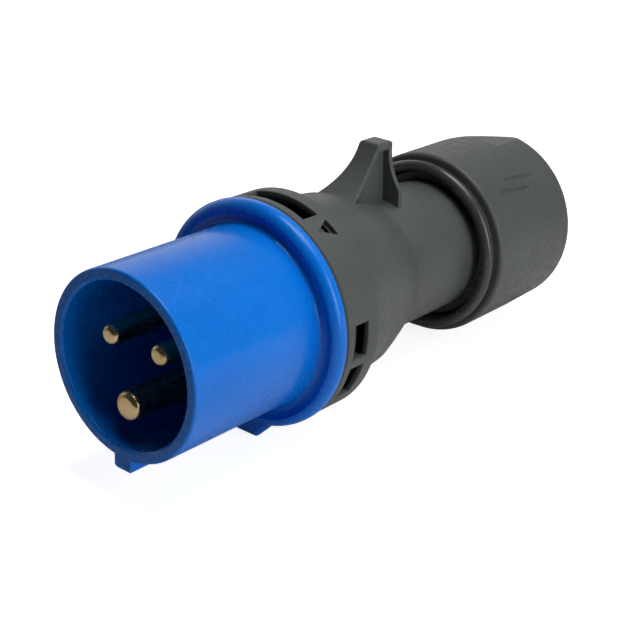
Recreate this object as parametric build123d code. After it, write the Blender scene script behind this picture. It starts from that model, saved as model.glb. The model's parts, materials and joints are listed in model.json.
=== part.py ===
from build123d import *
import os
from math import cos, radians, sin, tan

# Millimetres. Y runs along the plug's axis from the open mouth at Y = 0, and Z is up.
# A clock angle is counted about +Y from the top, so 90 is the +X side.

# Clearances between pieces, and how far a cutting shape reaches past what it cuts
HAIR = 0.05
FIT = 0.1
RUNNING_GAP = 0.3
OVERCUT = 1.0

# Sleeve, key and floor of the front moulding
SLEEVE_R = 21.9
SLEEVE_DRAFT = 0.1
SLEEVE_WALL = 2.8
SLEEVE_DEPTH = 38.5
MOUTH_ROUND = 0.6
FLOOR_ROUND = 1.1
MOUTH_CHAMFER = 0.55
FLOOR_THICK = 4.5
KEY_WIDTH = 4.9
KEY_HEIGHT = 3.5
KEY_ROUND = 1.7
SLEEVE_ROOT_R = SLEEVE_R + SLEEVE_DRAFT
SLEEVE_BORE_R = SLEEVE_R - SLEEVE_WALL
FLOOR_BACK = SLEEVE_DEPTH + FLOOR_THICK
KEY_R = SLEEVE_ROOT_R + KEY_HEIGHT

# Flange of the front moulding and its lug
FLANGE_RIM = 5.5
FLANGE_THICK = 3.0
FLANGE_ROUND = 2.2
FLOOR_STEP = 1.0
DISH_DEPTH = 1.1
LUG_DROP = 3.3
LUG_FLAT = 6.0
LUG_FOOT = 15.2
LUG_SINK = 1.4
LUG_SET_BACK = 0.6
LUG_ROUND = 1.2
FLANGE_R = SLEEVE_ROOT_R + FLANGE_RIM
FLANGE_BACK = FLOOR_BACK - FLOOR_STEP
FLANGE_FRONT = FLANGE_BACK - FLANGE_THICK
LUG_Z = -FLANGE_R - LUG_DROP
LUG_FRONT = FLANGE_FRONT + LUG_SET_BACK

# Gasket between flange and collar
GASKET_THICK = 0.9
GASKET_INSET = 1.0
GASKET_WIDTH = 1.9
GASKET_R = FLANGE_R - GASKET_INSET

# Collar of the rear housing
COLLAR_DROP = 0.3
COLLAR_WALL = 2.6
COLLAR_LENGTH = 10.8
COLLAR_EDGE = 0.5
COLLAR_FRONT = FLANGE_BACK + GASKET_THICK
COLLAR_END = COLLAR_FRONT + COLLAR_LENGTH
COLLAR_R = FLANGE_R - COLLAR_DROP
COLLAR_BORE_R = COLLAR_R - COLLAR_WALL

# Spigot behind the flange, with two hooks that hold the collar
SPIGOT_WALL = 2.4
SPIGOT_LENGTH = 3.0
HOOK_CLOCK = 58.0
HOOK_SPREAD = 18.0
HOOK_LENGTH = 6.4
HOOK_BITE = 1.3
HOOK_LIP_LENGTH = 2.2
HOOK_LIP_FLAT = 0.7
HOOK_STEP = 0.15
LIP_ROOM = 0.4
SPIGOT_R = COLLAR_BORE_R - RUNNING_GAP
SPIGOT_BORE_R = SPIGOT_R - SPIGOT_WALL
SPIGOT_END = FLANGE_BACK + SPIGOT_LENGTH
HOOK_END = SPIGOT_END + HOOK_LENGTH
HOOK_LIP_FRONT = HOOK_END - HOOK_LIP_LENGTH
HOOK_LIP_R = COLLAR_BORE_R + HOOK_BITE
LIP_GROOVE_R = HOOK_LIP_R + FIT

# Shoulder, dome and neck of the rear housing
HOUSING_WALL = 2.4
SHOULDER_LENGTH = 15.1
SHOULDER_DROP = 4.5
SHOULDER_HOLLOW = 0.8
DOME_LENGTH = 13.0
DOME_BULGE = 0.15
NECK_R = 17.4
NECK_COVE = 0.5
COVE_LENGTH = 1.1
NECK_LENGTH = 26.6
THREAD_STEP = 2.0
THREAD_LENGTH = 18.5
WAIST_Y = COLLAR_END + SHOULDER_LENGTH
WAIST_R = COLLAR_R - SHOULDER_DROP
DOME_END_Y = WAIST_Y + DOME_LENGTH
DOME_END_R = NECK_R + NECK_COVE
NECK_START = DOME_END_Y + COVE_LENGTH
NECK_BORE_R = NECK_R - HOUSING_WALL
THREAD_START = NECK_START + NECK_LENGTH
THREAD_R = NECK_R + THREAD_STEP
NECK_END = THREAD_START + THREAD_LENGTH

# Windows and arrow marks of the collar
WINDOW_INSET = 2.5
WINDOW_LENGTH = 4.8
WINDOW_ROUND = 0.35
SLOT_CLOCK = 3.0
SLOT_SPREAD = 40.0
SQUARE_CLOCK = 91.0
SQUARE_SPREAD = 18.0
LOWER_CLOCK = 115.0
LOWER_SPREAD = 20.0
TONGUE_LENGTH = 3.0
TONGUE_SINK = 0.6
TONGUE_FALL = 1.5
MARK_INSET = 3.2
MARK_LENGTH = 4.7
MARK_WIDTH = 4.8
MARK_CLOCK = 32.5
MARK_DEPTH = 1.3
WINDOW_FRONT = COLLAR_FRONT + WINDOW_INSET
WINDOW_BACK = WINDOW_FRONT + WINDOW_LENGTH
MARK_FRONT = COLLAR_FRONT + MARK_INSET

# Catch fin on top of the housing
FIN_HEIGHT = 15.7
FIN_OVERHANG = 1.3
FIN_LENGTH = 21.8
FIN_TIP_LENGTH = 5.4
FIN_BACK_LEAN = 1.5
FIN_HOLLOW = 1.9
FIN_TOP_WIDTH = 6.0
FIN_FOOT_WIDTH = 12.0
FIN_WAIST = 1.3
FIN_SINK = 1.8
FIN_WEB = 2.0
FIN_FRONT_PLATE = 1.5
FIN_BACK_PLATE = 1.3
FIN_HEAD = 2.0
FIN_TOP_ROUND = 0.8
FIN_FRONT = WAIST_Y - FIN_OVERHANG
FIN_BACK = FIN_FRONT + FIN_LENGTH
FIN_TOP_Z = NECK_R + FIN_HEIGHT
FIN_FLARE_Z = WAIST_R - FIN_SINK
FIN_FOOT_Z = NECK_BORE_R - RUNNING_GAP
FIN_TIP_BACK = FIN_BACK - FIN_BACK_LEAN
FIN_TIP_FRONT = FIN_TIP_BACK - FIN_TIP_LENGTH

# Contact pins and the rings that hold them in the carrier
LINE_R = 2.5
EARTH_R = 3.5
LINE_X = 7.5
LINE_Z = 4.1
EARTH_Z = -9.8
LINE_LENGTH = 35.5
EARTH_LENGTH = 37.5
PIN_TIP_ROUND = 1.5
PIN_ROOT_STEP = 0.2
PIN_COLLAR = 1.0
PIN_COLLAR_THICK = 1.9
TERMINAL_STEP = 1.7
EARTH_TERMINAL_STEP = 1.3
TERMINAL_LENGTH = 15.0
TERMINAL_EDGE = 0.3
WIRE_BORE_R = 2.1
WIRE_BORE_DEPTH = 11.0
CLIP_THICK = 0.8
CLIP_GROOVE = 0.6
CLIP_RIM = 1.1
LINE_TERMINAL_R = LINE_R + TERMINAL_STEP
EARTH_TERMINAL_R = EARTH_R + EARTH_TERMINAL_STEP

# Contact carrier behind the floor, and its screws
CARRIER_THICK = 7.0
BARRIER_REACH = 11.5
BARRIER_THICK = 1.4
BARRIER_OVERHANG = 1.0
CARRIER_SCREW_PITCH_R = 15.2
CARRIER_SCREW_R = 1.4
CARRIER_SCREW_BITE = 3.0
CARRIER_HEAD_R = 2.8
CARRIER_HEAD_HEIGHT = 2.0
CARRIER_R = SPIGOT_BORE_R - RUNNING_GAP
CARRIER_BACK = FLOOR_BACK + CARRIER_THICK
CARRIER_SCREW_TIP = FLOOR_BACK - CARRIER_SCREW_BITE
PIN_ROOT_FRONT = SLEEVE_DEPTH + FIT
PIN_COLLAR_FRONT = FLOOR_BACK + HAIR
PIN_COLLAR_BACK = PIN_COLLAR_FRONT + PIN_COLLAR_THICK
CLIP_FRONT = CARRIER_BACK + HAIR
CLIP_BACK = CLIP_FRONT + CLIP_THICK
TERMINAL_BACK = CARRIER_BACK + TERMINAL_LENGTH
BARRIER_END = TERMINAL_BACK + BARRIER_OVERHANG

# Terminal screws and clamp plates
SCREW_INSET = 6.0
SCREW_R = 1.9
SCREW_HEAD_R = 3.2
SCREW_HEAD_HEIGHT = 2.2
SCREW_STAND_OFF = 0.6
SLOT_WIDTH = 0.9
SLOT_DEPTH = 1.1
PLATE_THICK = 0.5
PLATE_WIDTH = 2.6
PLATE_LENGTH = 8.0
PLATE_HEIGHT = 0.6
SCREW_Y = TERMINAL_BACK - SCREW_INSET

# Cable seal in the neck
CABLE_R = 5.0
SPLIT_INSET = 1.1
SEAL_LENGTH = 13.4
SEAL_WAIST = 0.8
SEAL_EDGE = 0.8
SEAT_THICK = 5.5
SEAT_LEDGE = 2.7
CAGE_SINK = 11.0
SEAL_SPLIT_R = (CABLE_R + NECK_BORE_R) / 2 - SPLIT_INSET
SEAL_END = NECK_END - CAGE_SINK
SEAL_FRONT = SEAL_END - SEAL_LENGTH
SEAT_BACK = SEAL_FRONT - HAIR
SEAT_FRONT = SEAT_BACK - SEAT_THICK

# Clamp cage, and the thrust ring behind its flange
CAGE_WALL = 3.6
CAGE_FLANGE_THICK = 1.7
CAGE_FLANGE_INSET = 0.4
FINGER_COUNT = 8
FINGER_SLOT = 1.5
FINGER_CLEAR = 0.55
FINGER_TIP_GAP = 1.3
FINGER_TIP_ROUND = 0.5
FINGER_CHOKE = 1.5
RING_THICK = 2.2
RING_WIDTH = 4.0
RING_CLEAR = 0.5
CAGE_SLEEVE_R = NECK_BORE_R - FIT
CAGE_BORE_R = CAGE_SLEEVE_R - CAGE_WALL
CAGE_FLANGE_FRONT = NECK_END + HAIR
CAGE_FLANGE_BACK = CAGE_FLANGE_FRONT + CAGE_FLANGE_THICK
CAGE_FLANGE_R = THREAD_R - CAGE_FLANGE_INSET
RING_BORE_R = THREAD_R - RING_WIDTH
RING_FRONT = CAGE_FLANGE_BACK + RING_CLEAR
RING_BACK = RING_FRONT + RING_THICK

# Gland nut and the lip ring in its mouth
NUT_WALL = 4.7
NUT_TAPER = 0.3
NUT_STRAIGHT = 19.4
NUT_FRONT_ROUND = 0.9
NUT_END_ROUND = 3.0
NUT_END_WALL = 4.2
NUT_FRONT_GAP = 0.3
CONE_LENGTH = 8.4
CONE_LEDGE = 1.9
THREAD_RELIEF = 1.5
MOUTH_GAP = 0.5
LIP_TUBE_R = 1.5
LIP_SEAT_DEPTH = 0.5
LIP_ROOT = 0.5
CABLE_MOUTH_R = 10.5
CABLE_MOUTH_ROUND = 1.2
FLAT_CLOCK = -11.0
FLAT_DEPTH = 2.4
FLAT_LENGTH = 13.6
GRIP_CLOCK = 45.0
GRIP_SPLIT = 6.8
GRIP_STAGGER = 4.4
GRIP_TILT = 6.0
GRIP_INSET = 15.4
GRIP_LENGTH = 12.5
GRIP_TOOL_R = 0.9
GRIP_DEPTH = 0.6
NUT_BORE_R = THREAD_R + RUNNING_GAP
NUT_R = NUT_BORE_R + NUT_WALL
NUT_FRONT = THREAD_START - NUT_FRONT_GAP
NUT_SHOULDER = RING_BACK + HAIR
CONE_END = NUT_SHOULDER + CONE_LENGTH
CONE_START_R = RING_BORE_R + 2 * RING_CLEAR
CONE_END_R = CABLE_MOUTH_R + CONE_LEDGE
CONE_SLOPE = (CONE_START_R - CONE_END_R) / CONE_LENGTH
NUT_END = CONE_END + NUT_END_WALL
NUT_MOUTH_R = THREAD_R + MOUTH_GAP
LIP_SEAT = NUT_FRONT - LIP_SEAT_DEPTH
LIP_Y = LIP_SEAT - LIP_TUBE_R
LIP_RING_R = NUT_MOUTH_R + LIP_TUBE_R
FINGER_ROOT_R = RING_BORE_R - RING_CLEAR
FINGER_END = CONE_END - FINGER_TIP_GAP
FINGER_TIP_R = CONE_END_R + CONE_SLOPE * FINGER_TIP_GAP - FINGER_CLEAR


def corner_arc(before, at, after, radius):
    back = (before - at).normalized()
    ahead = (after - at).normalized()
    half = radians(back.get_angle(ahead) / 2)
    reach = radius / tan(half)
    centre = at + (back + ahead).normalized() * (radius / sin(half))
    middle = centre + (at - centre).normalized() * radius
    return at + back * reach, middle, at + ahead * reach


def outline(corners):
    # Each corner is (radius from the axis, Y) or (radius, Y, rounding).
    points = [Vector(corner[0], corner[1]) for corner in corners]
    rounds = [corner[2] if len(corner) > 2 else 0 for corner in corners]
    edges = []
    starts = []
    ends = []
    for index, at in enumerate(points):
        if rounds[index] == 0:
            starts.append(at)
            ends.append(at)
            continue
        after = points[(index + 1) % len(points)]
        start, middle, end = corner_arc(points[index - 1], at, after, rounds[index])
        edges.append(ThreePointArc(start, middle, end))
        starts.append(start)
        ends.append(end)
    for index, end in enumerate(ends):
        following = starts[(index + 1) % len(points)]
        edges.append(Line(end, following))
    return make_face(Wire(edges))


def bulged(start, end, bulge):
    # The arc bulges to the right of the way from start to end.
    start = Vector(*start)
    end = Vector(*end)
    along = (end - start).normalized()
    middle = (start + end) * 0.5 + Vector(along.Y, -along.X) * bulge
    return ThreePointArc(start, middle, end)


def turned(*corners):
    return revolve(outline(corners), Axis.Y)


def rod(radius, front, back, x=0, z=0):
    disc = Plane((x, front, z), x_dir=(1, 0, 0), z_dir=(0, 1, 0)) * Circle(radius)
    return extrude(disc, back - front)


def block(x_low, x_high, y_low, y_high, z_low, z_high):
    size = (x_high - x_low, y_high - y_low, z_high - z_low)
    middle = ((x_low + x_high) / 2, (y_low + y_high) / 2, (z_low + z_high) / 2)
    return Pos(*middle) * Box(*size)


def stud(radius, z_low, z_high):
    # It stands upright on the axis, over a terminal's screw place.
    height = z_high - z_low
    return Pos(0, SCREW_Y, z_low) * Cylinder(radius, height, align=(Align.CENTER, Align.CENTER, Align.MIN))


def about_axis(shape, clock):
    return Rot(0, clock, 0) * shape


def sector(face, clock, spread):
    # The face is drawn on the +X side, which is clock angle 90.
    return about_axis(revolve(face, Axis.Y, revolution_arc=spread), clock - 90 - spread / 2)


def ring_face(inner, outer, front, back):
    return make_face(Polyline((inner, front), (outer, front), (outer, back), (inner, back), close=True))


# Front moulding
def front_body():
    outer = turned(
        (0, 0),
        (SLEEVE_R, 0, MOUTH_ROUND),
        (SLEEVE_ROOT_R, FLANGE_FRONT),
        (FLANGE_R, FLANGE_FRONT, FLANGE_ROUND),
        (FLANGE_R, FLANGE_BACK),
        (SPIGOT_R, FLANGE_BACK),
        (SPIGOT_R, SPIGOT_END),
        (SPIGOT_BORE_R, SPIGOT_END),
        (SPIGOT_BORE_R, FLOOR_BACK),
        (0, FLOOR_BACK),
    )
    dish = bulged((FLANGE_R - FLANGE_ROUND, FLANGE_FRONT), (SLEEVE_ROOT_R, FLANGE_FRONT), DISH_DEPTH)
    dish_face = make_face(Wire([dish, Line(dish @ 1, dish @ 0)]))
    bore = turned(
        (0, -OVERCUT),
        (SLEEVE_BORE_R + MOUTH_CHAMFER, -OVERCUT),
        (SLEEVE_BORE_R + MOUTH_CHAMFER, 0),
        (SLEEVE_BORE_R, MOUTH_CHAMFER),
        (SLEEVE_BORE_R, SLEEVE_DEPTH, FLOOR_ROUND),
        (0, SLEEVE_DEPTH),
    )
    return outer - revolve(dish_face, Axis.Y) - bore


def key_rib():
    half = KEY_WIDTH / 2
    rib = block(-half, half, 0, FLANGE_BACK - FLANGE_THICK / 2, -KEY_R, -SLEEVE_R + SLEEVE_WALL / 2)
    lower = rib.edges().filter_by(Axis.Y).sort_by(Axis.Z)[:2]
    front = rib.faces().sort_by(Axis.Y)[0].edges().sort_by(Axis.Z)[0]
    return fillet(lower + [front], KEY_ROUND)


def flange_lug():
    face = make_face(
        Polyline(
            (-LUG_FOOT / 2, LUG_FRONT, LUG_SINK - FLANGE_R),
            (-LUG_FLAT / 2, LUG_FRONT, LUG_Z),
            (LUG_FLAT / 2, LUG_FRONT, LUG_Z),
            (LUG_FOOT / 2, LUG_FRONT, LUG_SINK - FLANGE_R),
            (0, LUG_FRONT, -SLEEVE_ROOT_R),
            close=True,
        )
    )
    lug = extrude(face, FLANGE_BACK - LUG_FRONT, dir=(0, 1, 0))
    front = lug.faces().sort_by(Axis.Y)[0].edges().sort_by(Axis.Z)[:3]
    return fillet(front, LUG_ROUND)


def snap_hook(clock):
    inner = SPIGOT_BORE_R + HOOK_STEP
    outer = SPIGOT_R - HOOK_STEP
    root = SPIGOT_END - SPIGOT_LENGTH / 2
    face = make_face(
        Polyline(
            (inner, root),
            (outer, root),
            (outer, HOOK_LIP_FRONT),
            (HOOK_LIP_R, HOOK_LIP_FRONT),
            (HOOK_LIP_R, HOOK_LIP_FRONT + HOOK_LIP_FLAT),
            (outer, HOOK_END),
            (inner, HOOK_END),
            close=True,
        )
    )
    return sector(face, clock, HOOK_SPREAD)


def plug_front():
    body = front_body() + key_rib() + flange_lug()
    body = body + snap_hook(HOOK_CLOCK) + snap_hook(HOOK_CLOCK + 180)
    for x, z, pin_r in ((LINE_X, LINE_Z, LINE_R), (-LINE_X, LINE_Z, LINE_R), (0, EARTH_Z, EARTH_R)):
        hole_r = pin_r + PIN_ROOT_STEP + HAIR
        body = body - rod(hole_r, SLEEVE_DEPTH - OVERCUT, FLOOR_BACK + OVERCUT, x, z)
    for x, z in carrier_screw_places():
        body = body - rod(CARRIER_SCREW_R + HAIR, CARRIER_SCREW_TIP - HAIR, FLOOR_BACK + OVERCUT, x, z)
    return body


def flange_gasket():
    return revolve(ring_face(GASKET_R - GASKET_WIDTH, GASKET_R, FLANGE_BACK, COLLAR_FRONT), Axis.Y)


# Contacts
def screw_clock(x):
    # A terminal's screw points away from the plug's axis.
    if x == 0:
        return 180
    return 90 if x > 0 else -90


def at_pin(shape, x, z):
    return Pos(x, 0, z) * about_axis(shape, screw_clock(x))


def contact_pin(x, z, length, pin_r, terminal_r):
    tip = SLEEVE_DEPTH - length
    groove_r = terminal_r - CLIP_GROOVE
    body = turned(
        (0, tip),
        (pin_r, tip, PIN_TIP_ROUND),
        (pin_r, PIN_ROOT_FRONT),
        (pin_r + PIN_ROOT_STEP, PIN_ROOT_FRONT),
        (pin_r + PIN_ROOT_STEP, PIN_COLLAR_FRONT),
        (terminal_r + PIN_COLLAR, PIN_COLLAR_FRONT),
        (terminal_r + PIN_COLLAR, PIN_COLLAR_BACK),
        (terminal_r, PIN_COLLAR_BACK),
        (terminal_r, CARRIER_BACK),
        (groove_r, CARRIER_BACK),
        (groove_r, CLIP_BACK + HAIR),
        (terminal_r, CLIP_BACK + HAIR),
        (terminal_r, TERMINAL_BACK, TERMINAL_EDGE),
        (0, TERMINAL_BACK),
    )
    body = body - rod(WIRE_BORE_R, TERMINAL_BACK - WIRE_BORE_DEPTH, TERMINAL_BACK + OVERCUT)
    return at_pin(body - stud(SCREW_R + HAIR, 0, terminal_r + OVERCUT), x, z)


def line_pin(x):
    return contact_pin(x, LINE_Z, LINE_LENGTH, LINE_R, LINE_TERMINAL_R)


def pin_earth():
    return contact_pin(0, EARTH_Z, EARTH_LENGTH, EARTH_R, EARTH_TERMINAL_R)


def pin_clip(x, z, terminal_r):
    root = terminal_r - CLIP_GROOVE + HAIR
    rim = terminal_r + CLIP_RIM
    ring = revolve(ring_face(root, rim, CLIP_FRONT, CLIP_BACK), Axis.Y)
    gap = block(-root / 2, root / 2, CLIP_FRONT - OVERCUT, CLIP_BACK + OVERCUT, -rim - OVERCUT, 0)
    return at_pin(ring - gap, x, z)


def terminal_screw(x, z, terminal_r):
    head_base = terminal_r + SCREW_STAND_OFF
    top = head_base + SCREW_HEAD_HEIGHT
    head = stud(SCREW_HEAD_R, head_base, top)
    head = fillet(head.edges().filter_by(GeomType.CIRCLE).sort_by(Axis.Z)[-1], SLOT_WIDTH / 2)
    slot = Pos(0, SCREW_Y, top) * Box(2 * SCREW_HEAD_R, SLOT_WIDTH, 2 * SLOT_DEPTH)
    return at_pin(stud(SCREW_R, PLATE_HEIGHT + PLATE_THICK, head_base) + head - slot, x, z)


def clamp_plate(x, z):
    low = SCREW_Y - PLATE_LENGTH / 2
    half = PLATE_WIDTH / 2
    plate = block(-half, half, low, low + PLATE_LENGTH, PLATE_HEIGHT, PLATE_HEIGHT + PLATE_THICK)
    return at_pin(plate, x, z)


def terminals():
    return {
        "live": (LINE_X, LINE_Z, LINE_TERMINAL_R),
        "neutral": (-LINE_X, LINE_Z, LINE_TERMINAL_R),
        "earth": (0, EARTH_Z, EARTH_TERMINAL_R),
    }


# Contact carrier
def carrier_screw_places():
    clocks = [radians(120 * step) for step in range(3)]
    return [(CARRIER_SCREW_PITCH_R * sin(clock), CARRIER_SCREW_PITCH_R * cos(clock)) for clock in clocks]


def contact_carrier():
    plate = rod(CARRIER_R, FLOOR_BACK, CARRIER_BACK)
    half = BARRIER_THICK / 2
    barrier = block(-half, half, CARRIER_BACK - CARRIER_THICK / 2, BARRIER_END, 0, BARRIER_REACH)
    for step in range(3):
        plate = plate + about_axis(barrier, 120 * step)
    for x, z, terminal_r in terminals().values():
        pocket_r = terminal_r + PIN_COLLAR + FIT
        plate = plate - rod(pocket_r, FLOOR_BACK - OVERCUT, PIN_COLLAR_BACK + HAIR, x, z)
        plate = plate - rod(terminal_r + HAIR, FLOOR_BACK - OVERCUT, CARRIER_BACK + OVERCUT, x, z)
    for x, z in carrier_screw_places():
        plate = plate - rod(CARRIER_SCREW_R + FIT, FLOOR_BACK - OVERCUT, CARRIER_BACK + OVERCUT, x, z)
    return plate


def carrier_screw(x, z):
    head_end = CARRIER_BACK + CARRIER_HEAD_HEIGHT
    screw = turned(
        (0, CARRIER_SCREW_TIP),
        (CARRIER_SCREW_R, CARRIER_SCREW_TIP + CARRIER_SCREW_R),
        (CARRIER_SCREW_R, CARRIER_BACK),
        (CARRIER_HEAD_R, CARRIER_BACK),
        (CARRIER_HEAD_R, head_end, CARRIER_HEAD_HEIGHT / 2),
        (0, head_end),
    )
    reach = CARRIER_HEAD_R + OVERCUT
    slot = block(-reach, reach, head_end - SLOT_DEPTH, head_end + OVERCUT, -SLOT_WIDTH / 2, SLOT_WIDTH / 2)
    return Pos(x, 0, z) * (screw - slot)


# Rear housing
def housing_shell():
    shoulder = bulged((COLLAR_R, COLLAR_END), (WAIST_R, WAIST_Y), -SHOULDER_HOLLOW)
    dome = bulged((WAIST_R, WAIST_Y), (DOME_END_R, DOME_END_Y), DOME_BULGE)
    straight = Polyline(
        (DOME_END_R, DOME_END_Y),
        (NECK_R, NECK_START),
        (NECK_R, THREAD_START),
        (THREAD_R, THREAD_START),
        (THREAD_R, NECK_END - COLLAR_EDGE),
        (THREAD_R - COLLAR_EDGE, NECK_END),
        (0, NECK_END),
        (0, COLLAR_FRONT),
        (COLLAR_R - COLLAR_EDGE, COLLAR_FRONT),
        (COLLAR_R, COLLAR_FRONT + COLLAR_EDGE),
        (COLLAR_R, COLLAR_END),
    )
    return revolve(make_face(Wire([shoulder, dome] + straight.edges())), Axis.Y)


def housing_hollow():
    shoulder_y = COLLAR_END - HOUSING_WALL / 2
    waist_r = WAIST_R - HOUSING_WALL
    shoulder = bulged((COLLAR_BORE_R, shoulder_y), (waist_r, WAIST_Y), -SHOULDER_HOLLOW)
    dome = bulged((waist_r, WAIST_Y), (NECK_BORE_R, DOME_END_Y), DOME_BULGE)
    straight = Polyline(
        (NECK_BORE_R, DOME_END_Y),
        (NECK_BORE_R, SEAT_FRONT),
        (NECK_BORE_R - SEAT_LEDGE, SEAT_FRONT),
        (NECK_BORE_R - SEAT_LEDGE, SEAT_BACK),
        (NECK_BORE_R, SEAT_BACK),
        (NECK_BORE_R, NECK_END + OVERCUT),
        (0, NECK_END + OVERCUT),
        (0, COLLAR_FRONT - OVERCUT),
        (COLLAR_BORE_R, COLLAR_FRONT - OVERCUT),
        (COLLAR_BORE_R, HOOK_LIP_FRONT - HAIR),
        (LIP_GROOVE_R, HOOK_LIP_FRONT - HAIR),
        (LIP_GROOVE_R, HOOK_LIP_FRONT + HOOK_LIP_FLAT + LIP_ROOM),
        (COLLAR_BORE_R, HOOK_END + LIP_ROOM),
        (COLLAR_BORE_R, shoulder_y),
    )
    return revolve(make_face(Wire([shoulder, dome] + straight.edges())), Axis.Y)


def fin_wedge(front_inset, back_inset, x_low, x_high):
    # The front edge is hollow and leans back, and the rear edge is nearly upright.
    front_foot = (FIN_FRONT + front_inset, FIN_FLARE_Z)
    front_tip = (FIN_TIP_FRONT + front_inset, FIN_TOP_Z)
    back_tip = (FIN_TIP_BACK - back_inset, FIN_TOP_Z)
    back_foot = (FIN_BACK - back_inset, FIN_FOOT_Z)
    front_base = (FIN_FRONT + front_inset, FIN_FOOT_Z)
    front = bulged(front_foot, front_tip, FIN_HOLLOW)
    rest = Polyline(front_tip, back_tip, back_foot, front_base, front_foot)
    side = Plane((x_low, 0, 0), x_dir=(0, 1, 0), z_dir=(1, 0, 0))
    return extrude(side * make_face(Wire([front] + rest.edges())), x_high - x_low)


def fin_taper():
    # Seen along the axis, the fin is narrow under its head and flares into a wide foot.
    top_half = FIN_TOP_WIDTH / 2
    foot_half = FIN_FOOT_WIDTH / 2
    right = bulged((foot_half, FIN_FLARE_Z), (top_half, FIN_TOP_Z), -FIN_WAIST)
    left = bulged((-top_half, FIN_TOP_Z), (-foot_half, FIN_FLARE_Z), -FIN_WAIST)
    top = Line((top_half, FIN_TOP_Z), (-top_half, FIN_TOP_Z))
    rest = Polyline(
        (-foot_half, FIN_FLARE_Z),
        (-foot_half, FIN_FOOT_Z),
        (foot_half, FIN_FOOT_Z),
        (foot_half, FIN_FLARE_Z),
    )
    across = Plane((0, FIN_BACK, 0), x_dir=(1, 0, 0), z_dir=(0, -1, 0))
    return extrude(across * make_face(Wire([right, top, left] + rest.edges())), FIN_LENGTH)


def catch_fin():
    foot_half = FIN_FOOT_WIDTH / 2
    fin = fin_wedge(0, 0, -foot_half, foot_half) & fin_taper()
    fin = fillet(fin.faces().sort_by(Axis.Z)[-1].edges(), FIN_TOP_ROUND)
    pocket = fin_wedge(FIN_FRONT_PLATE, FIN_BACK_PLATE, FIN_WEB / 2, foot_half + OVERCUT)
    under_head = block(0, foot_half + 2 * OVERCUT, FIN_FRONT, FIN_BACK, 0, FIN_TOP_Z - FIN_HEAD)
    pocket = pocket & under_head
    return fin - pocket - mirror(pocket, Plane.YZ)


def tongue_window_face():
    # The tongue is what the window leaves standing under its front edge, and it slopes down to the rear.
    inner = COLLAR_BORE_R - OVERCUT
    outer = COLLAR_R + OVERCUT
    top = COLLAR_R - TONGUE_SINK
    back = WINDOW_FRONT + TONGUE_LENGTH
    return make_face(
        Polyline(
            (outer, WINDOW_FRONT),
            (outer, WINDOW_BACK),
            (inner, WINDOW_BACK),
            (inner, back),
            (top - TONGUE_FALL, back),
            (top, WINDOW_FRONT),
            close=True,
        )
    )


def collar_windows(clock):
    through = ring_face(COLLAR_BORE_R - OVERCUT, COLLAR_R + OVERCUT, WINDOW_FRONT, WINDOW_BACK)
    windows = sector(through, SLOT_CLOCK + clock, SLOT_SPREAD)
    windows = windows + sector(tongue_window_face(), SQUARE_CLOCK + clock, SQUARE_SPREAD)
    return windows + sector(through, LOWER_CLOCK + clock, LOWER_SPREAD)


def arrow_mark(clock):
    # The arrow points at the open mouth.
    low = COLLAR_R - MARK_DEPTH
    base = MARK_FRONT + MARK_LENGTH
    half = MARK_WIDTH / 2
    face = make_face(Polyline((0, MARK_FRONT, low), (half, base, low), (-half, base, low), close=True))
    return about_axis(extrude(face, 2 * MARK_DEPTH, dir=(0, 0, 1)), MARK_CLOCK + clock)


def at_window_rim(edge):
    middle = edge @ 0.5
    radius = Vector(middle.X, middle.Z).length
    return abs(radius - COLLAR_R) < HAIR and WINDOW_FRONT - HAIR < middle.Y < WINDOW_BACK + HAIR


def rear_housing():
    body = housing_shell() + catch_fin() - housing_hollow() - collar_windows(0) - collar_windows(180)
    body = fillet([edge for edge in body.edges() if at_window_rim(edge)], WINDOW_ROUND)
    return body - arrow_mark(0) - arrow_mark(180)


# Cable gland
def cable_seal():
    outer = NECK_BORE_R - FIT
    waist = bulged((outer, SEAL_FRONT), (outer, SEAL_END), -SEAL_WAIST)
    inner = SEAL_SPLIT_R
    rest = Polyline((outer, SEAL_END), (inner, SEAL_END), (inner, SEAL_FRONT), (outer, SEAL_FRONT))
    return revolve(make_face(Wire([waist] + rest.edges())), Axis.Y)


def seal_core():
    return turned(
        (CABLE_R, SEAL_FRONT, SEAL_EDGE),
        (SEAL_SPLIT_R - HAIR, SEAL_FRONT),
        (SEAL_SPLIT_R - HAIR, SEAL_END),
        (CABLE_R, SEAL_END, SEAL_EDGE),
    )


def clamp_cage():
    front = SEAL_END + HAIR
    cage = turned(
        (CAGE_BORE_R, front),
        (CAGE_SLEEVE_R, front),
        (CAGE_SLEEVE_R, CAGE_FLANGE_FRONT),
        (CAGE_FLANGE_R, CAGE_FLANGE_FRONT),
        (CAGE_FLANGE_R, CAGE_FLANGE_BACK),
        (FINGER_ROOT_R, CAGE_FLANGE_BACK),
        (FINGER_TIP_R, FINGER_END, FINGER_TIP_ROUND),
        (CAGE_BORE_R - FINGER_CHOKE, FINGER_END),
        (CAGE_BORE_R, CAGE_FLANGE_FRONT),
    )
    half = FINGER_SLOT / 2
    slot = block(-half, half, CAGE_FLANGE_BACK, FINGER_END + OVERCUT, 0, CAGE_FLANGE_R)
    for step in range(FINGER_COUNT):
        cage = cage - about_axis(slot, 360 / FINGER_COUNT * step)
    return cage


def thrust_ring():
    return turned(
        (RING_BORE_R, RING_FRONT),
        (THREAD_R, RING_FRONT),
        (THREAD_R, RING_BACK),
        (CONE_START_R, RING_BACK),
    )


def nut_lip():
    bead = revolve(Pos(LIP_RING_R, LIP_Y) * Circle(LIP_TUBE_R), Axis.Y)
    stem = ring_face(NUT_MOUTH_R + RUNNING_GAP, LIP_RING_R + LIP_ROOT - FIT, LIP_Y, LIP_SEAT)
    return bead + revolve(stem, Axis.Y)


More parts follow.
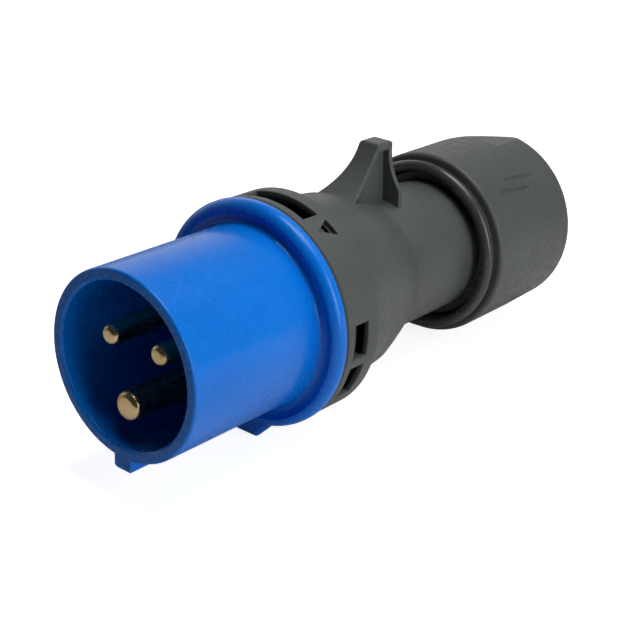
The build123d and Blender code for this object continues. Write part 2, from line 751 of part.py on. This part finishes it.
def nut_body():
    thread_front = NUT_FRONT + THREAD_RELIEF
    return turned(
        (NUT_MOUTH_R, LIP_SEAT),
        (LIP_RING_R + LIP_ROOT, LIP_SEAT),
        (LIP_RING_R + LIP_ROOT, NUT_FRONT),
        (NUT_R, NUT_FRONT, NUT_FRONT_ROUND),
        (NUT_R, NUT_FRONT + NUT_STRAIGHT),
        (NUT_R - NUT_TAPER, NUT_END, NUT_END_ROUND),
        (CABLE_MOUTH_R, NUT_END, CABLE_MOUTH_ROUND),
        (CABLE_MOUTH_R, CONE_END),
        (CONE_END_R, CONE_END),
        (CONE_START_R, NUT_SHOULDER),
        (NUT_BORE_R, NUT_SHOULDER),
        (NUT_BORE_R, thread_front),
        (NUT_MOUTH_R, thread_front - MOUTH_GAP),
    )


def nut_flat():
    reach = NUT_R + OVERCUT
    return block(-reach, reach, NUT_END - FLAT_LENGTH, NUT_END + OVERCUT, NUT_R - FLAT_DEPTH, reach)


def grip_groove(side):
    # The two grooves of a pair lean with the nut's turn and lie one behind the other.
    middle = NUT_FRONT + GRIP_INSET - side * GRIP_STAGGER / 2
    half = GRIP_LENGTH / 2
    tool = rod(GRIP_TOOL_R, -half, half, 0, NUT_R - GRIP_DEPTH + GRIP_TOOL_R)
    tool = fillet(tool.edges().filter_by(GeomType.CIRCLE), GRIP_DEPTH)
    return about_axis(Pos(0, middle, 0) * Rot(0, 0, -GRIP_TILT) * tool, side * GRIP_SPLIT / 2)


def gland_nut():
    nut = nut_body()
    for half_turn in (0, 180):
        nut = nut - about_axis(nut_flat(), FLAT_CLOCK + half_turn)
    pair = [grip_groove(-1), grip_groove(1)]
    for quarter in range(4):
        for groove in pair:
            nut = nut - about_axis(groove, GRIP_CLOCK + 90 * quarter)
    return nut


def group(shapes):
    return Compound(children=[shape.solid() for shape in shapes])


def save(shape, name):
    export_step(shape, "parts/" + name + ".step")


os.makedirs("parts", exist_ok=True)
save(plug_front(), "plug_front")
save(flange_gasket(), "flange_gasket")
save(contact_carrier(), "contact_carrier")
save(line_pin(LINE_X), "pin_live")
save(line_pin(-LINE_X), "pin_neutral")
save(pin_earth(), "pin_earth")
for name, place in terminals().items():
    save(pin_clip(*place), "pin_clip_" + name)
    save(clamp_plate(place[0], place[1]), "clamp_plate_" + name)
save(group([terminal_screw(*place) for place in terminals().values()]), "terminal_screws")
save(group([carrier_screw(x, z) for x, z in carrier_screw_places()]), "carrier_screws")
save(rear_housing(), "rear_housing")
save(cable_seal(), "cable_seal")
save(seal_core(), "seal_core")
save(clamp_cage(), "clamp_cage")
save(thrust_ring(), "thrust_ring")
save(nut_lip(), "nut_lip")
save(gland_nut(), "gland_nut")
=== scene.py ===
import json
from math import atan2, cos, pi, radians, sin

import bpy
from mathutils import Matrix, Vector


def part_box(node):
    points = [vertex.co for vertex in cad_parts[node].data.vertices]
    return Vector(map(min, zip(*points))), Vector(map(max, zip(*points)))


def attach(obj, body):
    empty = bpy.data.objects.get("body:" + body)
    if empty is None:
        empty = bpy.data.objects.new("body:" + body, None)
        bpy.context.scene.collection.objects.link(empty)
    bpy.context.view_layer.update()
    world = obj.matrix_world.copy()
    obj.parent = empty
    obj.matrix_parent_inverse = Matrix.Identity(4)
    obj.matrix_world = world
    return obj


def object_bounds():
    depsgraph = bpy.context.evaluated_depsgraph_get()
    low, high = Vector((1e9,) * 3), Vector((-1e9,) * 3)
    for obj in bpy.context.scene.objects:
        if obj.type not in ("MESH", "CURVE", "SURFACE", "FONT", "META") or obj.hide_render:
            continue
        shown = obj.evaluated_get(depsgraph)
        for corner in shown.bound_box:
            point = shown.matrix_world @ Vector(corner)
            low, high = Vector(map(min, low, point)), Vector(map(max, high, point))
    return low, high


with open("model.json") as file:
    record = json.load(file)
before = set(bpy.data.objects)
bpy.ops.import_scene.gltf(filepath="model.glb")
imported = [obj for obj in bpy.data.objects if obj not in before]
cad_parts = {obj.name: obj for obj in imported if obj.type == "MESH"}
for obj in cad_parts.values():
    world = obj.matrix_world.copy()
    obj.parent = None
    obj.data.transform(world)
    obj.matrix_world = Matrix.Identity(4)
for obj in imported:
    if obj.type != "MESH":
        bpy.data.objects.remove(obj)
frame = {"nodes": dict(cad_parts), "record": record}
cad_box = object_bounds()
MM = 0.001

# Camera, solved on the sleeve, flange, collar and nut circles of the photograph
AZIMUTH = 38.67
ELEVATION = 23.53
ROLL = 2.78
SIDEWAYS = -42.0 * MM
UPWARD = -10.1 * MM
DISTANCE = 295.61 * MM
LENS = 78.75
SENSOR = 36.0
NEAR_CLIP = 10 * MM

# Where the plug rests on the floor: its lug at the front, the gland nut at the back
LUG_Y = 42 * MM
NUT_REST = (142.0 * MM, -24.1 * MM)
FLOOR_HALF = 3.0

# Studio light, as shares of the light that shows a colour as it is written
KEY_SHARE = 0.52
KEY_FROM = (0.96, -0.09, 0.24)
KEY_DISTANCE = 0.8
KEY_SIZE = (0.28, 0.85)
WASH_SHARE = 0.2
WASH_TARGET = (0.12, 0.12, -0.03)
WASH_DISTANCE = 0.5
WASH_SIZE = (0.4, 0.4)
WASH_SPREAD = 80
AMBIENT = 0.5
BACKDROP_TOWARDS = (-0.9, 0.44, 0)
BACKDROP_SIDES = (0.3, 0.9)
BACKDROP_TOP = (0.5, 0.95)
BACKDROP_SHINE = 0.85
ROOM_SHINE = 0.03
REAR_REACH = (0.0, 0.7)
REAR_LEVELS = (0.01, 1.4)
FLOOR_PAINT = 0.72
FLOOR_GLOW = 0.84
WHITE = (1, 1, 1, 1)

# Thread under the gland nut: a rounded rib on the neck's rear end, one pitch per turn of the nut
THREAD_PITCH = 3.0 * MM
THREAD_CREST_R = 19.67 * MM
THREAD_RIB_R = 0.8 * MM
THREAD_FROM = 111.2 * MM
THREAD_TURNS = 5.1
THREAD_STEPS = 64
THREAD_SIDES = 20

# Colours
BLUE_DARK = (0.001, 0.158, 0.66)
BLUE_LIGHT = (0.0015, 0.178, 0.72)
BLUE_FLOW = (0.003, 0.195, 0.75)
BLUE_SCUFF = (0.05, 0.27, 0.8)
BLUE_EDGE = (0.05, 0.3, 0.85)
GREY_DARK = (0.062, 0.069, 0.067)
GREY_LIGHT = (0.075, 0.083, 0.081)
BRASS_BRIGHT = (0.84, 0.63, 0.35)
BRASS_DULL = (0.68, 0.46, 0.21)
ZINC_BRIGHT = (0.72, 0.72, 0.7)
ZINC_DULL = (0.5, 0.5, 0.48)
MOULDING_BLACK = 0.016
RUBBER_BLACK = 0.014
LIP_BLACK = 0.034


def put_in_scene(thing):
    bpy.context.scene.collection.objects.link(thing)
    return thing


# Node trees
class Nodes:
    """A short way to lay out one node tree."""

    def __init__(self, tree):
        self.tree = tree

    def add(self, kind, inputs=None, **settings):
        node = self.tree.nodes.new(kind)
        for key, value in settings.items():
            setattr(node, key, value)
        for key, value in (inputs or {}).items():
            self.set(node.inputs[key], value)
        return node

    def set(self, socket, value):
        if isinstance(value, bpy.types.NodeSocket):
            self.tree.links.new(value, socket)
        else:
            socket.default_value = value

    def math(self, operation, first, second, third=0.0):
        keys = {0: first, 1: second, 2: third}
        return self.add("ShaderNodeMath", keys, operation=operation).outputs[0]

    def dot(self, first, second):
        keys = {0: first, 1: second}
        return self.add("ShaderNodeVectorMath", keys, operation="DOT_PRODUCT").outputs["Value"]

    def ramp(self, value, low, high, start=0.0, end=1.0):
        # A smooth step from start to end while the value goes from low to high
        keys = {"Value": value, "From Min": low, "From Max": high, "To Min": start, "To Max": end}
        return self.add("ShaderNodeMapRange", keys, interpolation_type="SMOOTHSTEP").outputs[0]

    def mix(self, factor, first, second):
        keys = {0: factor, 2: first, 3: second}
        return self.add("ShaderNodeMix", keys, data_type="FLOAT").outputs[0]

    def blend(self, factor, first, second):
        node = self.add("ShaderNodeMix", {"Factor": factor}, data_type="RGBA")
        for socket, colour in ((node.inputs[6], first), (node.inputs[7], second)):
            self.set(socket, (*colour, 1) if isinstance(colour, tuple) else colour)
        return node.outputs[2]

    def tint(self, colour, other, mask, share):
        return self.blend(self.math("MULTIPLY", mask, share), colour, other)

    def noise(self, scale, detail=2, roughness=0.5, turn=(0, 0, 0)):
        # The scale counts cycles for each millimetre along the piece's own axes.
        coord = self.add("ShaderNodeTexCoord").outputs["Object"]
        keys = {"Vector": coord, "Scale": tuple(s / MM for s in scale), "Rotation": turn}
        place = self.add("ShaderNodeMapping", keys).outputs[0]
        keys = {"Vector": place, "Scale": 1.0, "Detail": detail, "Roughness": roughness}
        return self.add("ShaderNodeTexNoise", keys).outputs[0]

    def bump(self, height, depth, normal):
        # The depth is in millimetres.
        keys = {"Height": height, "Distance": depth * MM, "Normal": normal}
        return self.add("ShaderNodeBump", keys).outputs["Normal"]

    def rays(self):
        # Which rays look straight at the backdrop or floor, and which are mirrored by a surface
        path = self.add("ShaderNodeLightPath").outputs
        seen = self.math("MAXIMUM", path["Is Camera Ray"], path["Is Transmission Ray"])
        return seen, path["Is Glossy Ray"]


# Camera and studio
def add_camera():
    turn, rise, roll = radians(AZIMUTH), radians(ELEVATION), radians(ROLL)
    back = Vector((sin(turn) * cos(rise), -cos(turn) * cos(rise), sin(rise)))
    level = Vector((cos(turn), sin(turn), 0))
    upright = back.cross(level)
    right = level * cos(roll) + upright * sin(roll)
    up = upright * cos(roll) - level * sin(roll)
    data = bpy.data.cameras.new("camera")
    data.lens = LENS
    data.sensor_width = SENSOR
    data.clip_start = NEAR_CLIP
    camera = put_in_scene(bpy.data.objects.new("camera", data))
    place = back * DISTANCE - right * SIDEWAYS - up * UPWARD
    axes = Matrix((right, up, back)).transposed().to_4x4()
    camera.matrix_world = Matrix.Translation(place) @ axes
    bpy.context.scene.camera = camera


def add_lamp(name, target, towards, distance, size, share, spread=180):
    data = bpy.data.lights.new(name, "AREA")
    data.shape = "ELLIPSE"
    data.size, data.size_y = size
    data.spread = radians(spread)
    data.energy = share * (pi * distance) ** 2
    lamp = put_in_scene(bpy.data.objects.new(name, data))
    away = Vector(towards).normalized()
    lamp.location = Vector(target) + away * distance
    lamp.rotation_euler = away.to_track_quat("Z", "Y").to_euler()


def set_world():
    world = bpy.data.worlds.new("studio")
    world.use_nodes = True
    bpy.context.scene.world = world
    world.node_tree.nodes.clear()
    lay = Nodes(world.node_tree)
    seen, mirrored = lay.rays()
    way = lay.add("ShaderNodeTexCoord").outputs["Generated"]
    axes = lay.add("ShaderNodeSeparateXYZ", {0: way}).outputs
    # The white backdrop stands behind the plug, low and wide; the rest of the room is dim.
    low = lay.ramp(axes["Z"], *BACKDROP_TOP, start=1.0, end=0.0)
    behind = lay.ramp(lay.dot(way, BACKDROP_TOWARDS), *BACKDROP_SIDES)
    backdrop = lay.math("MULTIPLY", behind, low)
    shine = lay.math("MULTIPLY_ADD", backdrop, BACKDROP_SHINE, ROOM_SHINE)
    # Soft light comes from the plug's rear half, so the mouth and its bore stay dark.
    rear = lay.ramp(axes["Y"], *REAR_REACH, *REAR_LEVELS)
    soft = lay.math("MULTIPLY", rear, AMBIENT)
    strength = lay.mix(seen, lay.mix(mirrored, soft, shine), 1.0)
    sky = lay.add("ShaderNodeBackground", {"Color": WHITE, "Strength": strength}).outputs[0]
    lay.add("ShaderNodeOutputWorld", {"Surface": sky})


def floor_finish():
    finish = bpy.data.materials.new("studio_floor")
    finish.use_nodes = True
    finish.node_tree.nodes.clear()
    lay = Nodes(finish.node_tree)
    seen, _ = lay.rays()
    pale = (FLOOR_PAINT, FLOOR_PAINT, FLOOR_PAINT, 1)
    paint = lay.add("ShaderNodeBsdfDiffuse", {"Color": pale}).outputs[0]
    # A glow that only the camera sees whitens the floor and keeps the plug's shadow.
    keys = {"Color": WHITE, "Strength": FLOOR_GLOW}
    glow = lay.add("ShaderNodeEmission", keys).outputs[0]
    lit = lay.add("ShaderNodeAddShader", {0: paint, 1: glow}).outputs[0]
    surface = lay.add("ShaderNodeMixShader", {0: seen, 1: paint, 2: lit}).outputs[0]
    lay.add("ShaderNodeOutputMaterial", {"Surface": surface})
    return finish


def add_floor():
    front = Vector((0, LUG_Y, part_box("plug_front")[0].z))
    back = Vector((0, *NUT_REST))
    slope = atan2(back.z - front.z, back.y - front.y)
    turn = Matrix.Rotation(slope, 4, "X")
    signs = ((-1, -1), (1, -1), (1, 1), (-1, 1))
    corners = [front + turn @ Vector((x * FLOOR_HALF, y * FLOOR_HALF, 0)) for x, y in signs]
    mesh = bpy.data.meshes.new("floor")
    mesh.from_pydata(corners, [], [(0, 1, 2, 3)])
    mesh.materials.append(floor_finish())
    floor = put_in_scene(bpy.data.objects.new("floor", mesh))


# Neck thread
def thread_tree(finish):
    tree = bpy.data.node_groups.new("thread_rib", "GeometryNodeTree")
    for name in ("Turns", "Pitch", "Crest", "Rib"):
        tree.interface.new_socket(name, in_out="INPUT", socket_type="NodeSocketFloat")
    tree.interface.new_socket("Geometry", in_out="OUTPUT", socket_type="NodeSocketGeometry")
    lay = Nodes(tree)
    sizes = lay.add("NodeGroupInput").outputs
    reach = lay.math("SUBTRACT", sizes["Crest"], sizes["Rib"])
    keys = {"Resolution": THREAD_STEPS, "Rotations": sizes["Turns"]}
    keys["Start Radius"] = reach
    keys["End Radius"] = reach
    keys["Height"] = lay.math("MULTIPLY", sizes["Turns"], sizes["Pitch"])
    spiral = lay.add("GeometryNodeCurveSpiral", keys).outputs[0]
    keys = {"Resolution": THREAD_SIDES, "Radius": sizes["Rib"]}
    section = lay.add("GeometryNodeCurvePrimitiveCircle", keys).outputs[0]
    keys = {"Curve": spiral, "Profile Curve": section, "Fill Caps": True}
    rib = lay.add("GeometryNodeCurveToMesh", keys).outputs[0]
    smooth = lay.add("GeometryNodeSetShadeSmooth", {"Geometry": rib}).outputs[0]
    real = lay.add("GeometryNodeRealizeInstances", {"Geometry": smooth}).outputs[0]
    keys = {"Geometry": real, "Material": finish}
    dressed = lay.add("GeometryNodeSetMaterial", keys).outputs[0]
    lay.add("NodeGroupOutput", {"Geometry": dressed})
    return tree


def add_thread(finish):
    blank = bpy.data.meshes.new("thread_maker")
    maker = put_in_scene(bpy.data.objects.new("thread_maker", blank))
    tree = thread_tree(finish)
    modifier = maker.modifiers.new("rib", "NODES")
    modifier.node_group = tree
    sizes = {"Turns": THREAD_TURNS, "Pitch": THREAD_PITCH}
    sizes["Crest"] = THREAD_CREST_R
    sizes["Rib"] = THREAD_RIB_R
    for socket in tree.interface.items_tree:
        if socket.name in sizes:
            modifier[socket.identifier] = sizes[socket.name]
    evaluated = maker.evaluated_get(bpy.context.evaluated_depsgraph_get())
    mesh = bpy.data.meshes.new_from_object(evaluated)
    bpy.data.objects.remove(maker)
    # The spiral climbs along Z, and the neck's axis is Y.
    laid_down = Matrix.Rotation(radians(-90), 4, "X")
    mesh.transform(Matrix.Translation((0, THREAD_FROM, 0)) @ laid_down)
    thread = put_in_scene(bpy.data.objects.new("neck_thread", mesh))
    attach(thread, "plug")


# Finishes
def new_finish(name, metal=0.0):
    finish = bpy.data.materials.new(name)
    finish.use_nodes = True
    shader = finish.node_tree.nodes["Principled BSDF"]
    shader.inputs["Metallic"].default_value = metal
    return finish, Nodes(finish.node_tree), shader


def join(lay, shader, colour, rough, normal):
    lay.set(shader.inputs["Base Color"], colour)
    lay.set(shader.inputs["Roughness"], rough)
    lay.set(shader.inputs["Normal"], normal)


def soft_edges(lay, radius):
    # A real edge is never sharp: the normal rolls over it, and the same roll marks its wear.
    rolled = lay.add("ShaderNodeBevel", {"Radius": radius * MM}, samples=4).outputs["Normal"]
    flat = lay.add("ShaderNodeNewGeometry").outputs["Normal"]
    return rolled, lay.ramp(lay.dot(rolled, flat), 0.995, 0.8)


def lighter(colour, factor):
    return tuple(min(1.0, factor * c) for c in colour)


def blue_moulding():
    finish, lay, shader = new_finish("blue_moulding")
    shader.inputs["IOR"].default_value = 1.46
    shader.inputs["Specular IOR Level"].default_value = 0.35
    rolled, edge = soft_edges(lay, 0.3)
    cloud = lay.ramp(lay.noise((0.045, 0.03, 0.045)), 0.35, 0.65)
    flow = lay.ramp(lay.noise((0.22, 0.035, 0.22), detail=3), 0.52, 0.72, end=0.35)
    colour = lay.blend(cloud, BLUE_DARK, BLUE_LIGHT)
    colour = lay.blend(flow, colour, BLUE_FLOW)
    # Thin scuffs lie along the sleeve, as plugging in leaves them.
    streak = lay.noise((1.1, 0.1, 1.1), detail=4, roughness=0.6, turn=(0.0, 0.5, 0.15))
    patch = lay.noise((0.07, 0.05, 0.07), detail=1)
    worn = lay.math("MULTIPLY", lay.ramp(streak, 0.64, 0.76), lay.ramp(patch, 0.56, 0.7))
    colour = lay.tint(colour, BLUE_SCUFF, worn, 0.16)
    colour = lay.tint(colour, BLUE_EDGE, edge, 0.2)
    fine = lay.noise((0.8, 0.8, 0.8))
    rough = lay.ramp(lay.math("MULTIPLY_ADD", worn, 0.6, fine), 0.3, 1.0, start=0.2, end=0.4)
    waves = lay.bump(lay.noise((0.16, 0.07, 0.16), detail=1), 0.07, rolled)
    join(lay, shader, colour, rough, lay.bump(fine, 0.006, waves))
    return finish


def grey_moulding():
    finish, lay, shader = new_finish("grey_moulding")
    shader.inputs["IOR"].default_value = 1.48
    rolled, edge = soft_edges(lay, 0.35)
    cloud = lay.ramp(lay.noise((0.05, 0.035, 0.05), detail=3), 0.3, 0.7)
    speck = lay.ramp(lay.noise((1.3, 1.3, 1.3)), 0.5, 0.8, end=0.3)
    dust = lay.noise((0.35, 0.35, 0.35), detail=5, roughness=0.65)
    dust = lay.ramp(dust, 0.58, 0.76, end=0.22)
    colour = lay.blend(cloud, GREY_DARK, GREY_LIGHT)
    colour = lay.blend(speck, colour, lighter(GREY_LIGHT, 1.35))
    colour = lay.blend(dust, colour, lighter(GREY_LIGHT, 1.9))
    colour = lay.tint(colour, lighter(GREY_LIGHT, 2.1), edge, 0.3)
    rough = lay.ramp(lay.noise((0.5, 0.5, 0.5), detail=3), 0.3, 0.7, start=0.42, end=0.56)
    grain = lay.bump(lay.noise((4.5, 4.5, 4.5), detail=3, roughness=0.6), 0.03, rolled)
    waves = lay.bump(lay.noise((0.14, 0.1, 0.14), detail=1), 0.06, grain)
    join(lay, shader, colour, rough, waves)
    return finish


def black_finish(name, level, rough_low, rough_high, grain_depth):
    finish, lay, shader = new_finish(name)
    rolled, edge = soft_edges(lay, 0.2)
    cloud = lay.noise((0.15, 0.15, 0.15), detail=3)
    deep = (level, level, 1.1 * level)
    pale = (1.8 * level, 1.8 * level, 1.9 * level)
    worn = (6 * level, 6 * level, 6 * level)
    colour = lay.tint(lay.blend(cloud, deep, pale), worn, edge, 0.3)
    rough = lay.ramp(lay.noise((0.7, 0.7, 0.7), detail=3), 0.3, 0.7, rough_low, rough_high)
    grain = lay.bump(lay.noise((3.0, 3.0, 3.0), detail=3), grain_depth, rolled)
    join(lay, shader, colour, rough, grain)
    return finish


def turned_metal(name, bright, dull, rough_low, rough_high, ring_pitch):
    # Fine rings from the lathe tool run round the pin, and the metal dulls in soft patches.
    finish, lay, shader = new_finish(name, 1.0)
    rolled, edge = soft_edges(lay, 0.15)
    cloud = lay.noise((0.12, 0.06, 0.12), detail=4, roughness=0.6)
    rings = lay.ramp(lay.noise((0.02, 1 / ring_pitch, 0.02)), 0.3, 0.8, end=0.12)
    colour = lay.blend(lay.ramp(cloud, 0.35, 0.7), bright, dull)
    colour = lay.tint(colour, lighter(bright, 1.15), edge, 0.4)
    colour = lay.blend(rings, colour, dull)
    rough = lay.ramp(cloud, 0.3, 0.7, rough_low, rough_high)
    dents = lay.bump(lay.noise((0.5, 0.2, 0.5)), 0.004, rolled)
    join(lay, shader, colour, rough, dents)
    return finish


def dress_nodes():
    looks = {
        "blue_plastic": blue_moulding(),
        "grey_plastic": grey_moulding(),
        "black_plastic": black_finish("black_moulding", MOULDING_BLACK, 0.35, 0.5, 0.012),
        "black_rubber": black_finish("black_rubber", RUBBER_BLACK, 0.2, 0.3, 0.002),
        "glossy_rubber": black_finish("glossy_rubber", LIP_BLACK, 0.22, 0.28, 0.001),
        "brass": turned_metal("brass", BRASS_BRIGHT, BRASS_DULL, 0.2, 0.32, 0.4),
        "steel": turned_metal("zinc_plate", ZINC_BRIGHT, ZINC_DULL, 0.25, 0.4, 0.3),
    }
    slots = {part["node"]: part["material_slot"] for part in frame["record"]["subparts"]}
    slots["nut_lip"] = "glossy_rubber"
    for name, node in frame["nodes"].items():
        node.data.materials.clear()
        node.data.materials.append(looks[slots[name]])
    return looks


finishes = dress_nodes()
add_thread(finishes["grey_plastic"])
add_camera()
add_floor()
middle = (Vector(cad_box[0]) + Vector(cad_box[1])) / 2
add_lamp("key", middle, KEY_FROM, KEY_DISTANCE, KEY_SIZE, KEY_SHARE)
add_lamp("wash", WASH_TARGET, (0, 0, 1), WASH_DISTANCE, WASH_SIZE, WASH_SHARE, WASH_SPREAD)
set_world()
bpy.context.scene.view_settings.view_transform = "Standard"
